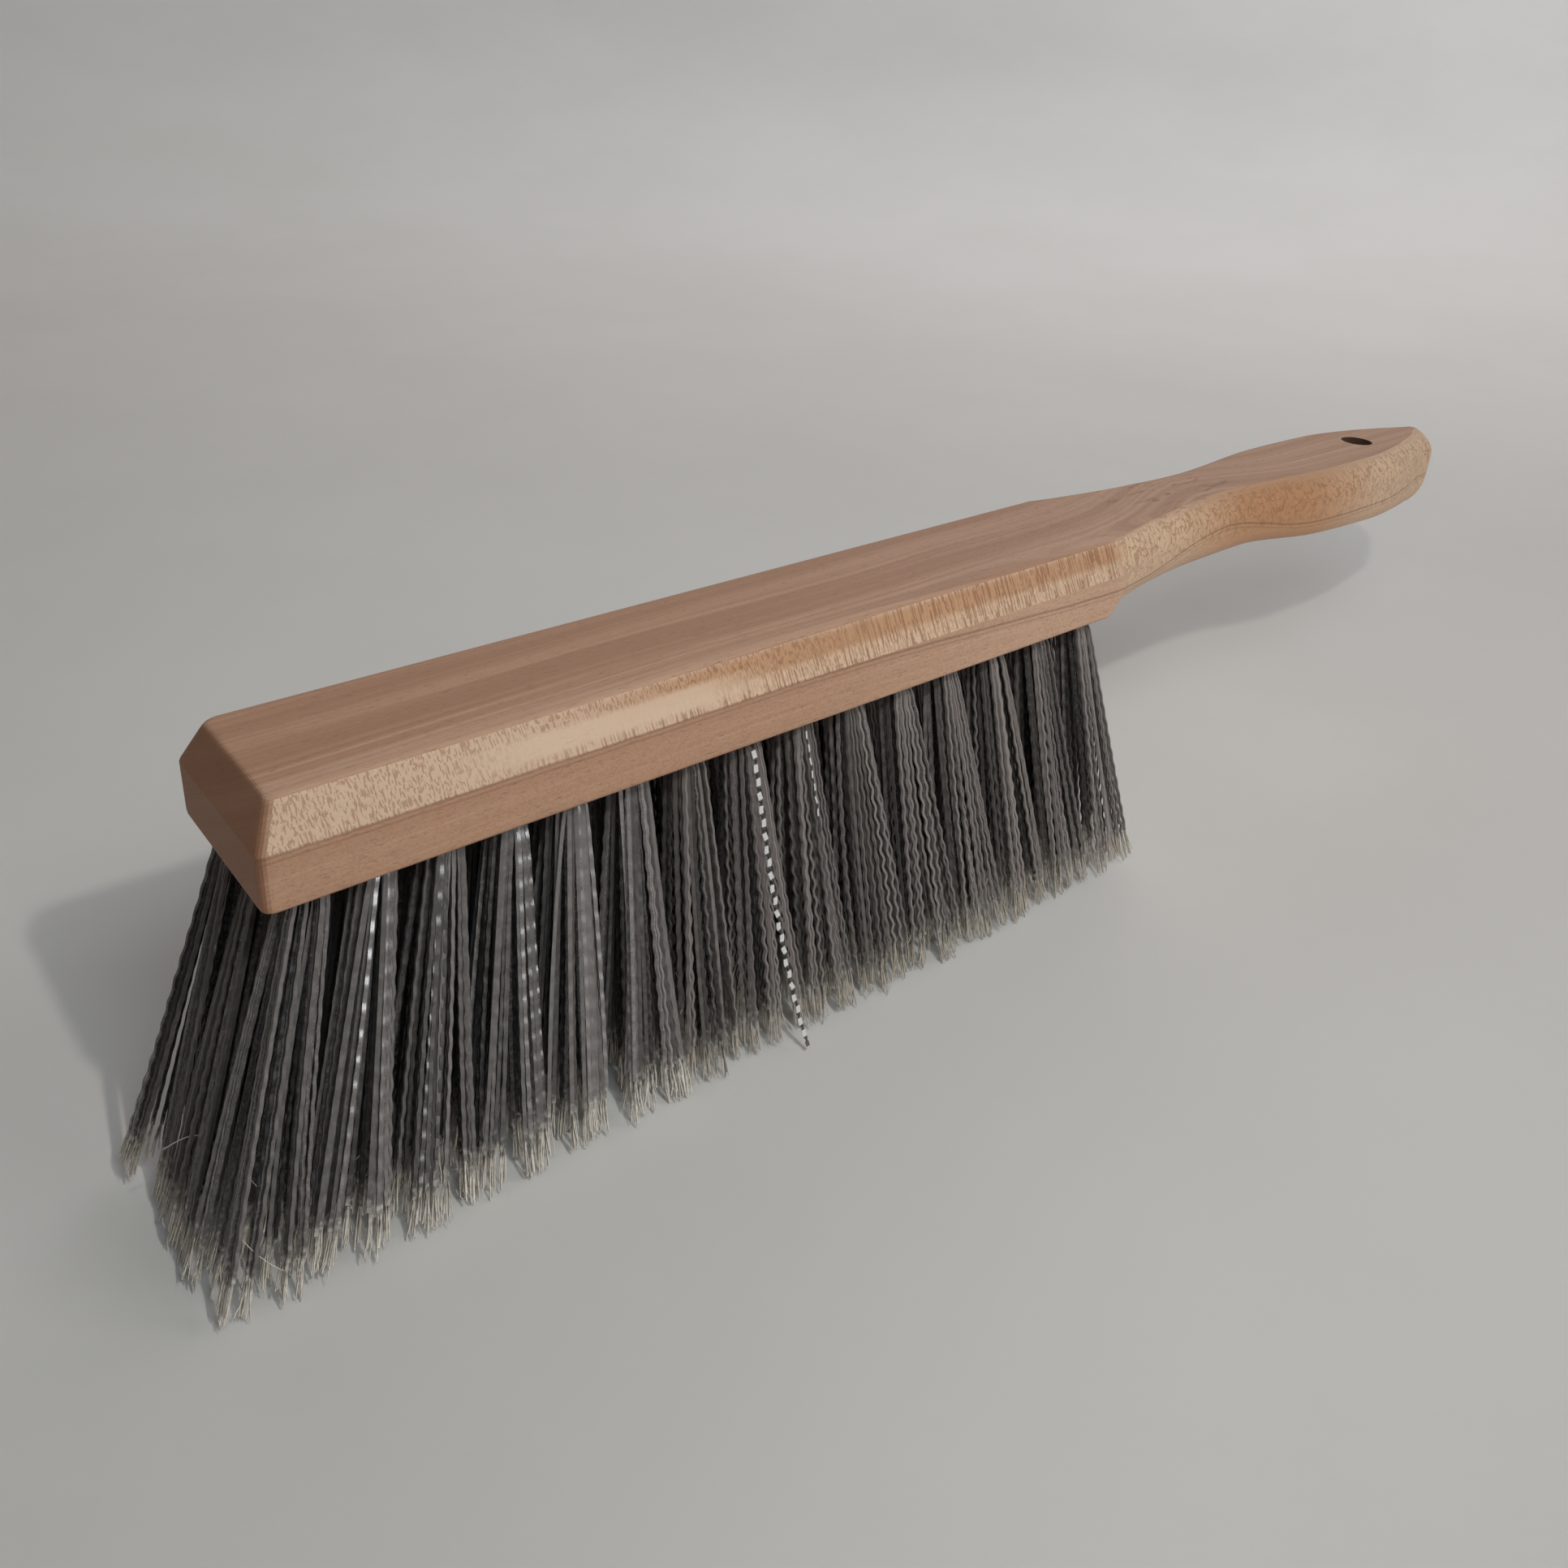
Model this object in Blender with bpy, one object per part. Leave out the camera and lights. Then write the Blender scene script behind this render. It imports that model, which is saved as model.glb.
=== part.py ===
"""Bee brush: a one-piece wooden block and handle, fan-drilled underneath for three rows of staple-set tufts.

Units are metres, +Z up. The brush stands on its bristle tips at Z = 0. X runs along the brush from the front of
the head towards the handle, and the origin is under the middle of the whole brush.
"""

import math

import bmesh
import bpy
from mathutils import Vector

# Block: a bar with bevelled top edges, shaped at the rear into the handle
HEAD_WIDTH = 0.0349
THICKNESS = 0.0161
BEVEL_RUN = 0.0037
BEVEL_DROP = 0.0068
FRONT_BEVEL_RUN = 0.0033
BEVEL_HEAD_RADIUS = 0.0015
BEVEL_FOOT_RADIUS = 0.0008
BOTTOM_EDGE_RADIUS = 0.0011
FRONT_CORNER_RADII = (0.0026, 0.0018)
FRONT_SKEW = 0.0019
FRONT_LEAN = 0.0005
SHOULDER_X = 0.1870
HANDLE_END_X = 0.3435
BAR_OVERRUN = 0.0100
BELLY_FRONT_X = 0.2100
BELLY_DEPTH = 0.0150
EDGE_STEPS = 4
CORNER_STEPS = 5

# Handle outline, front to back: (x, half width, underside above the block's underside, top below the block's top).
# The first three stand clear of the bar, so that they leave the head as it is.
HANDLE_STATIONS = (
    (-0.0100, 0.0330, -0.0010, -0.0010),
    (0.1760, 0.0330, -0.0010, -0.0010),
    (0.1805, 0.0236, -0.0006, -0.0004),
    (SHOULDER_X, HEAD_WIDTH / 2, 0.0002, -0.0001),
    (0.1944, 0.0157, 0.0004, -0.0001),
    (0.2055, 0.0139, 0.0007, -0.0001),
    (0.2210, 0.0128, 0.0011, -0.0001),
    (0.2430, 0.0123, 0.0011, 0.0001),
    (0.2745, 0.0157, -0.0008, 0.0003),
    (0.3015, 0.0147, -0.0026, 0.0006),
    (0.3195, 0.0115, -0.0042, 0.0010),
    (0.3310, 0.0089, -0.0051, 0.0013),
)
# Flat on top of the handle: (x, half width of the flat, angle in degrees at which the side falls away from it)
FLAT_STATIONS = (
    (-0.0100, 0.0320, 88.0),
    (0.1805, 0.0190, 88.0),
    (SHOULDER_X, 0.0136, 86.0),
    (0.2040, 0.0101, 80.0),
    (0.2160, 0.0083, 76.0),
    (0.2360, 0.0068, 74.0),
    (0.2560, 0.0083, 72.0),
    (0.2810, 0.0103, 68.0),
    (0.2980, 0.0103, 64.0),
    (0.3120, 0.0085, 60.0),
    (0.3300, 0.0042, 58.0),
    (0.3390, 0.0008, 58.0),
    (HANDLE_END_X, 0.0003, 58.0),
)
FORM_STARTS_AT = 1
HANDLE_SIDE_DROP = 0.0062
HANDLE_BOTTOM_RADIUS = 0.0062
HANDLE_NOSE_X = 0.3310
NOSE_POWER = 0.72
NOSE_TIP_SHARE = 0.10
NOSE_LIFT = 0.57
NOSE_LIFT_POWER = 0.8
NOSE_TOP_REACH = 0.0040
LARGEST_CORNER_SHARE = 0.9
STATION_STEP = 0.0032
NOSE_STEPS = 12
HANDLE_CORNER_STEPS = 8

# Hanging hole through the end of the handle
HANG_HOLE_X = 0.3085
HANG_HOLE_RADIUS = 0.0040
HANG_HOLE_SIDES = 32

# Tufts: rows across the head, columns along it, each leaning outwards so the tips spread into a larger rectangle
TUFT_COLUMNS = 15
ROW_NAMES = ("left", "middle", "right")
ROW_SPACING = 0.0109
TIP_ROW_SPACING = 0.0150
FIRST_TUFT_X = 0.0077
TUFT_PITCH = 0.01045
TUFT_PITCH_GROWTH = 0.000127
FIRST_TIP_X = -0.0126
LAST_TIP_X = 0.1970
BRISTLE_LENGTH = 0.0677
TUFT_HOLE_RADIUS = 0.00275
TUFT_HOLE_DEPTH = 0.0110
TUFT_HOLE_SIDES = 14
TUFT_ROOT_DEPTH = 0.0097
HOLE_OVERRUN = 0.0012
CLEARANCE = 0.0003
TUFT_SIDES = 12
# (share of the length below the block, share of the widening from the hole to the tip)
TUFT_FLARE = ((0.0, 0.0), (0.02, 0.12), (0.07, 0.27), (0.45, 0.60), (1.0, 1.0))
TIP_SQUARENESS = 0.55

UNDERSIDE_Z = BRISTLE_LENGTH
TIP_CELL_LENGTH = (LAST_TIP_X - FIRST_TIP_X) / (TUFT_COLUMNS - 1) - CLEARANCE
TIP_CELL_WIDTH = TIP_ROW_SPACING - CLEARANCE
CENTRE_X = (HANDLE_END_X + FIRST_TIP_X - TIP_CELL_LENGTH / 2) / 2


def clear_scene():
    for old in list(bpy.data.objects):
        bpy.data.objects.remove(old, do_unlink=True)


def make_material(name, colour, roughness, metallic=0.0):
    material = bpy.data.materials.new(name)
    material.use_nodes = True
    shader = material.node_tree.nodes["Principled BSDF"]
    shader.inputs["Base Color"].default_value = (*colour, 1.0)
    shader.inputs["Roughness"].default_value = roughness
    shader.inputs["Metallic"].default_value = metallic
    return material


def arc(centre, radius, start, end, steps):
    """Points of an arc from angle start to angle end, in degrees."""
    points = []
    for i in range(steps + 1):
        angle = math.radians(start + (end - start) * i / steps)
        points.append((centre[0] + radius * math.cos(angle), centre[1] + radius * math.sin(angle)))
    return points


def loft(name, rings):
    """One closed mesh through rings that all have the same number of points, with a cap at each end."""
    mesh_data = bmesh.new()
    made = [[mesh_data.verts.new(point) for point in ring] for ring in rings]
    for lower, upper in zip(made, made[1:]):
        for i, vert in enumerate(lower):
            after = (i + 1) % len(lower)
            mesh_data.faces.new((vert, lower[after], upper[after], upper[i]))
    mesh_data.faces.new(list(reversed(made[0])))
    mesh_data.faces.new(made[-1])
    bmesh.ops.recalc_face_normals(mesh_data, faces=mesh_data.faces)
    mesh = bpy.data.meshes.new(name)
    mesh_data.to_mesh(mesh)
    mesh_data.free()
    return mesh


def add_object(name, mesh, material=None):
    thing = bpy.data.objects.new(name, mesh)
    bpy.context.scene.collection.objects.link(thing)
    if material:
        mesh.materials.append(material)
    return thing


def hide_cutter(cutter):
    cutter.hide_render = True
    cutter.display_type = "WIRE"


def add_boolean(thing, cutter, operation):
    modifier = thing.modifiers.new(cutter.name, "BOOLEAN")
    modifier.operation = operation
    modifier.solver = "EXACT"
    modifier.object = cutter
    hide_cutter(cutter)


def along(x):
    """A distance from the front of the head, as a coordinate in the part's frame."""
    return x - CENTRE_X


# ---------------------------------------------------------------- block


def rounded_corner(before, corner, after, radius):
    """Arc points that round one corner of a side profile."""
    corner = Vector(corner)
    inwards = (Vector(before) - corner).normalized()
    outwards = (Vector(after) - corner).normalized()
    half_angle = inwards.angle(outwards) / 2
    reach = radius / math.tan(half_angle)
    start = corner + inwards * reach
    end = corner + outwards * reach
    points = []
    for i in range(EDGE_STEPS + 1):
        t = i / EDGE_STEPS
        points.append(start * (1 - t) ** 2 + corner * (2 * t * (1 - t)) + end * t ** 2)
    return points


def bar_profile():
    """(inset from the side, height) up one side of the bar: rounded bottom edge, flat side, bevel, flat top."""
    bottom = (0.0, 0.0)
    bevel_foot = (0.0, THICKNESS - BEVEL_DROP)
    bevel_head = (BEVEL_RUN, THICKNESS)
    middle = HEAD_WIDTH / 2
    profile = rounded_corner((middle, 0.0), bottom, bevel_foot, BOTTOM_EDGE_RADIUS)
    profile += rounded_corner(bottom, bevel_foot, bevel_head, BEVEL_FOOT_RADIUS)
    profile += rounded_corner(bevel_foot, bevel_head, (middle, THICKNESS), BEVEL_HEAD_RADIUS)
    return profile


def bar_outline(inset, height):
    """Plan outline of the bar at one height: round front corners, square at the hidden rear end."""
    front = inset * FRONT_BEVEL_RUN / BEVEL_RUN - FRONT_LEAN * (1 - height / THICKNESS)
    half = HEAD_WIDTH / 2 - inset
    right, left = FRONT_CORNER_RADII
    rear = HANDLE_END_X + BAR_OVERRUN
    corners = arc((front + right, half - right), right, 90, 180, CORNER_STEPS)
    corners += arc((front + left, left - half), left, 180, 270, CORNER_STEPS)
    skewed = [(x + FRONT_SKEW * y / HEAD_WIDTH, y) for x, y in corners]
    outline = [(rear, half), *skewed, (rear, -half)]
    return [(along(x), y, UNDERSIDE_Z + height) for x, y in outline]


def make_bar():
    return loft("block", [bar_outline(inset, height) for inset, height in bar_profile()])


def station_value(rows, x, column):
    """Smooth curve through one column of a table of stations, with no overshoot between the stations."""
    slopes = [(b[column] - a[column]) / (b[0] - a[0]) for a, b in zip(rows, rows[1:])]
    tangents = [slopes[0]]
    for before, after in zip(slopes, slopes[1:]):
        mean = 2 * before * after / (before + after) if before * after > 0 else 0.0
        tangents.append(mean)
    tangents.append(slopes[-1])
    x = min(max(x, rows[0][0]), rows[-1][0])
    i = max(j for j in range(len(rows) - 1) if rows[j][0] <= x)
    width = rows[i + 1][0] - rows[i][0]
    t = (x - rows[i][0]) / width
    return (
        rows[i][column] * (1 + 2 * t) * (1 - t) ** 2
        + tangents[i] * width * t * (1 - t) ** 2
        + rows[i + 1][column] * t ** 2 * (3 - 2 * t)
        + tangents[i + 1] * width * t ** 2 * (t - 1)
    )


def ellipse_arc(centre, half_width, half_height, start, end):
    """Points of an elliptical arc from angle start to angle end, in degrees."""
    points = []
    for i in range(HANDLE_CORNER_STEPS + 1):
        angle = math.radians(start + (end - start) * i / HANDLE_CORNER_STEPS)
        points.append((centre[0] + half_width * math.cos(angle), centre[1] + half_height * math.sin(angle)))
    return points


def nose_fall(x, angle):
    """How far the top edge has dropped at x, close to the tip, where the side profile runs round the nose."""
    reach = min(HANDLE_END_X - x, NOSE_TOP_REACH)
    half_length = NOSE_TOP_REACH / (1 - math.cos(angle))
    turn = math.acos(min(1.0, 1 - reach / half_length))
    return HANDLE_SIDE_DROP * (1 - math.sin(turn) / math.sin(angle))


def ring_at(x, narrowing=1.0):
    """Section of the handle at x: flat top, sides that fall away from it; narrowing draws it in towards the tip."""
    half = station_value(HANDLE_STATIONS, x, 1) * narrowing
    bottom = station_value(HANDLE_STATIONS, x, 2)
    top = THICKNESS - station_value(HANDLE_STATIONS, x, 3)
    bottom += (top - bottom) * NOSE_LIFT * (1 - narrowing ** NOSE_LIFT_POWER)
    edge_degrees = station_value(FLAT_STATIONS, x, 2)
    edge = math.radians(edge_degrees)
    top -= nose_fall(x, edge)
    flat = min(station_value(FLAT_STATIONS, x, 1), half * LARGEST_CORNER_SHARE)
    lower = min(HANDLE_BOTTOM_RADIUS, half * LARGEST_CORNER_SHARE, (top - bottom) / 2)
    drop = min(HANDLE_SIDE_DROP, top - bottom - lower)
    wide = (half - flat) / (1 - math.cos(edge))
    tall = drop / math.sin(edge)
    side = ellipse_arc((half - wide, top - drop), wide, tall, edge_degrees, 0)
    side += ellipse_arc((half - lower, bottom + lower), lower, lower, 0, -90)
    section = side + [(-y, z) for y, z in reversed(side)]
    return [(along(x), y, UNDERSIDE_Z + z) for y, z in section]


def make_handle_form():
    """The routed handle shape. In front of the shoulder it is wider than the bar and leaves the bar untouched."""
    first = HANDLE_STATIONS[FORM_STARTS_AT][0]
    count = round((HANDLE_NOSE_X - first) / STATION_STEP)
    rings = [ring_at(HANDLE_STATIONS[0][0])]
    rings += [ring_at(first + (HANDLE_NOSE_X - first) * i / count) for i in range(count + 1)]
    nose = HANDLE_END_X - HANDLE_NOSE_X
    for i in range(1, NOSE_STEPS + 1):
        angle = math.pi / 2 * i / NOSE_STEPS
        narrowing = max(math.cos(angle) ** NOSE_POWER, NOSE_TIP_SHARE)
        rings.append(ring_at(HANDLE_NOSE_X + nose * math.sin(angle), narrowing))
    return loft("handle_form", rings)


def make_belly():
    """Extra stock under the handle, which dips below the underside of the head towards its end."""
    front, rear = along(BELLY_FRONT_X), along(HANDLE_END_X + BAR_OVERRUN)
    low, high = UNDERSIDE_Z - BELLY_DEPTH, UNDERSIDE_Z + THICKNESS / 2
    rings = []
    for x in (front, rear):
        rings.append([(x, -HEAD_WIDTH, low), (x, HEAD_WIDTH, low), (x, HEAD_WIDTH, high), (x, -HEAD_WIDTH, high)])
    return loft("belly", rings)


def make_cylinder(name, foot, head, radius, sides):
    """A closed cylinder between two points."""
    axis = (Vector(head) - Vector(foot)).normalized()
    across = axis.orthogonal().normalized()
    other = axis.cross(across)
    rings = []
    for end in (foot, head):
        ring = []
        for i in range(sides):
            angle = 2 * math.pi * i / sides
            ring.append(Vector(end) + across * radius * math.cos(angle) + other * radius * math.sin(angle))
        rings.append(ring)
    return loft(name, rings)


# ---------------------------------------------------------------- tufts


def tuft_root(column, row):
    """Centre of a tuft where it leaves the block."""
    x = FIRST_TUFT_X + TUFT_PITCH * column + TUFT_PITCH_GROWTH * column ** 2
    return Vector((along(x), ROW_SPACING * row, UNDERSIDE_Z))


def tuft_tip(column, row):
    """Centre of a tuft's tip cell, on the surface that the brush stands on."""
    x = FIRST_TIP_X + (LAST_TIP_X - FIRST_TIP_X) * column / (TUFT_COLUMNS - 1)
    return Vector((along(x), TIP_ROW_SPACING * row, 0.0))


def squarish(angle, half_x, half_y, squareness):
    """A point on a shape between an ellipse (squareness 0) and its bounding rectangle (squareness 1)."""
    cosine, sine = math.cos(angle), math.sin(angle)
    reach = 1.0 / max(abs(cosine), abs(sine))
    scale = 1.0 + (reach - 1.0) * squareness
    return half_x * cosine * scale, half_y * sine * scale


def tuft_rings(column, row):
    root = tuft_root(column, row)
    tip = tuft_tip(column, row)
    radius = TUFT_HOLE_RADIUS - CLEARANCE
    rings = []
    for level, spread in ((-TUFT_ROOT_DEPTH / BRISTLE_LENGTH, 0.0), *TUFT_FLARE):
        centre = root + (tip - root) * level
        half_x = radius + (TIP_CELL_LENGTH / 2 - radius) * spread
        half_y = radius + (TIP_CELL_WIDTH / 2 - radius) * spread
        ring = []
        for i in range(TUFT_SIDES):
            angle = 2 * math.pi * (i + 0.5) / TUFT_SIDES
            dx, dy = squarish(angle, half_x, half_y, TIP_SQUARENESS * spread)
            ring.append((centre.x + dx, centre.y + dy, centre.z))
        rings.append(ring)
    return rings


def make_hole_cutters():
    """One cutter for every tuft hole: each is drilled along its own tuft's lean."""
    joined = bmesh.new()
    for column in range(TUFT_COLUMNS):
        for row in range(-1, 2):
            root = tuft_root(column, row)
            tip = tuft_tip(column, row)
            lean = (root - tip) / (root.z - tip.z)
            ring_pair = (root - lean * HOLE_OVERRUN, root + lean * TUFT_HOLE_DEPTH)
            cylinder = make_cylinder("hole", *ring_pair, TUFT_HOLE_RADIUS, TUFT_HOLE_SIDES)
            joined.from_mesh(cylinder)
            bpy.data.meshes.remove(cylinder)
    mesh = bpy.data.meshes.new("tuft_holes")
    joined.to_mesh(mesh)
    joined.free()
    return mesh


# ---------------------------------------------------------------- assembly


def build_block():
    wood = make_material("wood", (0.55, 0.36, 0.23), 0.55)
    block = add_object("block_and_handle", make_bar(), wood)
    add_boolean(block, add_object("belly", make_belly()), "UNION")
    add_boolean(block, add_object("handle_form", make_handle_form()), "INTERSECT")
    add_boolean(block, add_object("tuft_holes", make_hole_cutters()), "DIFFERENCE")
    below = (along(HANG_HOLE_X), 0.0, UNDERSIDE_Z - THICKNESS)
    above = (along(HANG_HOLE_X), 0.0, UNDERSIDE_Z + THICKNESS * 2)
    hang_hole = make_cylinder("hang_hole", below, above, HANG_HOLE_RADIUS, HANG_HOLE_SIDES)
    add_boolean(block, add_object("hang_hole", hang_hole), "DIFFERENCE")
    block.data.set_sharp_from_angle(angle=math.radians(30))


def build_tufts():
    bristle = make_material("bristle", (0.14, 0.13, 0.125), 0.45)
    for column in range(TUFT_COLUMNS):
        for row, row_name in enumerate(ROW_NAMES):
            name = f"tuft_{row_name}_{column + 1:02d}"
            mesh = loft(name, tuft_rings(column, row - 1))
            mesh.shade_smooth()
            mesh.set_sharp_from_angle(angle=math.radians(40))
            add_object(name, mesh, bristle)


clear_scene()
build_block()
build_tufts()
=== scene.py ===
"""Looks of the bee brush: figured wood on the block and handle, and 45 tufts of crimped, flagged filament."""

import math

import bpy
import numpy as np
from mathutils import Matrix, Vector


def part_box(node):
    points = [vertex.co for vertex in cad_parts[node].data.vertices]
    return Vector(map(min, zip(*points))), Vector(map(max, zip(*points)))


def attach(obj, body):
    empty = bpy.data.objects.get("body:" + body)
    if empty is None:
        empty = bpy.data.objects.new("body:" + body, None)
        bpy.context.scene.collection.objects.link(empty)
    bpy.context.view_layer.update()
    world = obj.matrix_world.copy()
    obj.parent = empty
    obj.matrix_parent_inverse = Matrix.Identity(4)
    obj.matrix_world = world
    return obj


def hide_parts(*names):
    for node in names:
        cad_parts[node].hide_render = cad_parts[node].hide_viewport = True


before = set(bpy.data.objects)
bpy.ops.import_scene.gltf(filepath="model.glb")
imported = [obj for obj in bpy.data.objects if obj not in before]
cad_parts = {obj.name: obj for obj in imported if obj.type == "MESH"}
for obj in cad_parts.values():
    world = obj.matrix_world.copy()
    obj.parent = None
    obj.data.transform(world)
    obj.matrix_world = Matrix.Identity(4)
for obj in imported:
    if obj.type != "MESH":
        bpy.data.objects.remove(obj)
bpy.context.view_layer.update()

MM = 0.001
BLOCK = "block_and_handle"
ROWS = ("left", "middle", "right")
COLUMNS = 15

# Front of the block, and its underside above the surface that the bristle tips stand on
FRONT_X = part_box(BLOCK)[0].x
UNDERSIDE_Z = 67.7 * MM
LEVEL_SLACK = 0.1 * MM

# Where the filaments of a tuft lie: layers of them, over the hole and over the tip cell
LAYERS = (-0.95, -0.36, 0.36, 0.95)
FILAMENTS_PER_LAYER = 11
HOLE_LAYER_DEPTH = 0.86
HOLE_LAYER_REACH = 0.95
TIP_LAYER_REACH = 0.97
TIP_STAGGER = 0.5
ROOT_RADIUS = 2.45 * MM
ROOT_DEPTH = 3.0 * MM
ROOT_JITTER = 0.05
TIP_SPREAD = 1.08
TIP_JITTER = 0.30 * MM
CLUMPS_PER_TUFT = 9
CLUMP_PULL = 0.40
QUICK_SPLAY = 0.12
QUICK_SPLAY_OVER = 0.03

# Trim of the tips, above the surface they stand on
TUFT_TRIM = (-0.5 * MM, 0.8 * MM)
CLUMP_TRIM = 0.6 * MM
TIP_RAGGEDNESS = 3.2 * MM
LOWEST_TIP = 0.15 * MM

# Filaments and their crimp; shares are of the way from the front tuft to the rear one
FILAMENT_WIDTH = 0.64 * MM
FILAMENT_THICKNESS = 0.50 * MM
FILAMENT_VARIATION = (0.85, 1.1)
FILAMENT_DRIFT = 0.35 * MM
CRIMP_LENGTH = 4.1 * MM
CRIMP_LENGTH_JITTER = 0.0025
CRIMP_HEIGHTS = (0.15 * MM, 0.23 * MM)
FULL_CRIMP_FROM = 0.4
CRIMP_VARIATION = (0.75, 1.15)
CRIMP_AT_ROOT = 0.45
CRIMP_GROWTH = 1.2
CRIMP_PLANES = (82, 10)
CRIMP_TURNS_BETWEEN = (0.14, 0.50)
CRIMP_PLANE_JITTER = 0.24
PHASE_TILT = 0.5
PHASE_JITTER = 0.16
POINTS_PER_CRIMP = 7

# Flags: the split ends
FLAG_LENGTH = 8.5 * MM
FLAGS_FROM = 1 - FLAG_LENGTH / UNDERSIDE_Z
FLAG_OVERLAP = 0.01
FLAG_VARIATION = (0.75, 1.08)
FLAG_OPENING = 0.42 * MM
FLAG_BEND = 0.16 * MM
FIBRILS_PER_FILAMENT = 4
FIBRIL_WIDTH = 0.34 * MM
FIBRIL_SECTION = (1.3, 0.8)
FIBRIL_VARIATION = (0.8, 1.4)
FIBRIL_TAPER = 0.35
FIBRIL_STEPS = 7
LOWEST_FIBRIL = 0.12 * MM

# Loose fibres; reach and fall are in millimetres
STRAYS_PER_TUFT = 1
MORE_STRAYS_BEFORE = 0.4
STRAY_ORIGINS = (4, 26)
STRAY_REACH = (2.0, 9.0)
STRAY_FALL = (3, 16)
STRAY_CURL = 1.8 * MM
STRAY_WIDTH = 0.19 * MM
STRAY_STEPS = 18
LOWEST_STRAY = 0.3 * MM

# Filaments with painted glints: the white dashes on each are painted highlights standing in for the glints of
# a shiny twisted filament.
# Given are the width of each, and the share of its tuft's length at which it ends. The tape and its painted
# glint dashes are given as shares of that width, across and through.
PAINTED_GLINT_TUFTS = {"tuft_left_08": (0.92 * MM, 0.99), "tuft_left_09": (0.32 * MM, 0.36)}
GLINT_PITCH = 2.75 * MM
GLINT_FLIP = 0.45
GLINT_STEPS = 340
GLINT_DASH_STEPS = 6
GLINT_FORWARD = 1.1 * MM
GLINT_FORWARD_OVER = 0.03
GLINT_DRIFT = (3.2 * MM, -3.6 * MM)
GLINT_TAPE = (0.9, 0.14)
PAINTED_GLINT_FACE = (1.0, 0.20)

# Tints: 0 to 1 runs from dark to light grey, and the two above 1 stand for other colours: the pale strays and
# the white of painted glints. Low tints on the inner filaments of each tuft and in the tufts at the front are
# painted shade.
SHADED_INNER_TINT = 0.05
LIT_OUTER_TINT = 0.72
TINT_JITTER = 0.26
FRONT_SHADE_TINT = 0.42
FRONT_SHADE_FADES_BETWEEN = (0.25, 0.50)
STRAY_TINT = 2.0
GLINT_DARK = 0.45
PAINTED_GLINT_TINT = 3.0

FLAT_SIDES = 4
HAIR_SIDES = 3
UV_MAP = "OFBake"
MAP_FILL = 0.9
SEED = 7

# ---------------------------------------------------------------- shader graphs


class Graph:
    """A material's node tree, with short calls for the nodes used here."""

    def __init__(self, name):
        self.material = bpy.data.materials.new(name)
        self.material.use_nodes = True
        self.tree = self.material.node_tree
        self.shader = self.tree.nodes["Principled BSDF"]

    def put(self, socket, value):
        if isinstance(value, bpy.types.NodeSocket):
            self.tree.links.new(value, socket)
        elif hasattr(socket.default_value, "__len__") and len(socket.default_value) == 4:
            socket.default_value = (*value, 1.0)
        else:
            socket.default_value = value

    def node(self, kind, settings=None, **inputs):
        made = self.tree.nodes.new(kind)
        for key, value in (settings or {}).items():
            setattr(made, key, value)
        for key, value in inputs.items():
            self.put(made.inputs[key.replace("_", " ")], value)
        return made

    def math(self, operation, a, b=0.0):
        made = self.node("ShaderNodeMath", {"operation": operation})
        for socket, value in zip(made.inputs, (a, b)):
            self.put(socket, value)
        return made.outputs[0]

    def scaled(self, value, factor):
        return self.math("MULTIPLY", value, factor)

    def vector(self, x, y, z):
        return self.node("ShaderNodeCombineXYZ", X=x, Y=y, Z=z).outputs[0]

    def split(self, vector):
        return self.node("ShaderNodeSeparateXYZ", Vector=vector).outputs

    def noise(self, vector, scale=1.0, detail=2.0, roughness=0.5, distortion=0.0):
        made = self.node(
            "ShaderNodeTexNoise", {"noise_dimensions": "3D"},
            Vector=vector, Scale=scale, Detail=detail, Roughness=roughness, Distortion=distortion,
        )
        return made.outputs["Fac"]

    def ramp(self, value, low, high):
        """Value mapped smoothly from low..high to 0..1, held at the ends. low may be above high."""
        made = self.node("ShaderNodeMapRange", {"clamp": True, "interpolation_type": "SMOOTHSTEP"})
        for name, number in (("Value", value), ("From Min", low), ("From Max", high)):
            self.put(made.inputs[name], number)
        return made.outputs[0]

    def near(self, value, middle, reach):
        """From 0 to 1 as the value comes from reach[0] away from the middle to reach[1] away from it."""
        return self.ramp(self.math("ABSOLUTE", self.math("SUBTRACT", value, middle)), *reach)

    def mix(self, share, a, b):
        """Blend of two colours; the numbers pick the colour sockets of the node."""
        made = self.node("ShaderNodeMix", {"data_type": "RGBA"})
        for index, value in ((0, share), (6, a), (7, b)):
            self.put(made.inputs[index], value)
        return made.outputs[2]

    def bump(self, height, distance, strength=1.0):
        return self.node("ShaderNodeBump", Height=height, Distance=distance, Strength=strength).outputs[0]


def srgb(red, green, blue):
    """A colour given in display values from 0 to 255, as the linear numbers that shaders take."""
    shares = [value / 255 for value in (red, green, blue)]
    return tuple(((v + 0.055) / 1.055) ** 2.4 if v > 0.04 else v / 12.92 for v in shares)


# ---------------------------------------------------------------- wood

# Lengths in the wood are in millimetres: x from the front of the block, z from its underside, and over across
# the growth rings. In a pair, a change starts at the first number and is complete at the second. RADIAL is
# the direction across the rings, in Y and Z. Each late-wood line has a level, a width and a strength.
RADIAL = (0.478, 0.878)
GRAIN_RISE_X = 232.0
GRAIN_RISE_LENGTH = 25
GRAIN_RISE = -6.0
PALE_SIDE_FROM = (90.0, 175.0)
SIDE_ENDS_AT = (196.0, 186.0)
HANDLE_FROM = (184.0, 192.0)
PATCH_X = 254.0
PATCH_REACH = (50.0, 6.0)
REAR_FROM = (40.0, 92.0)
AMBER_FROM = (38.0, 84.0)
AMBER_ENDS_AT = (215.0, 192.0)
AMBER_OVER = 4.9
AMBER_REACH = (2.6, 1.1)
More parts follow.
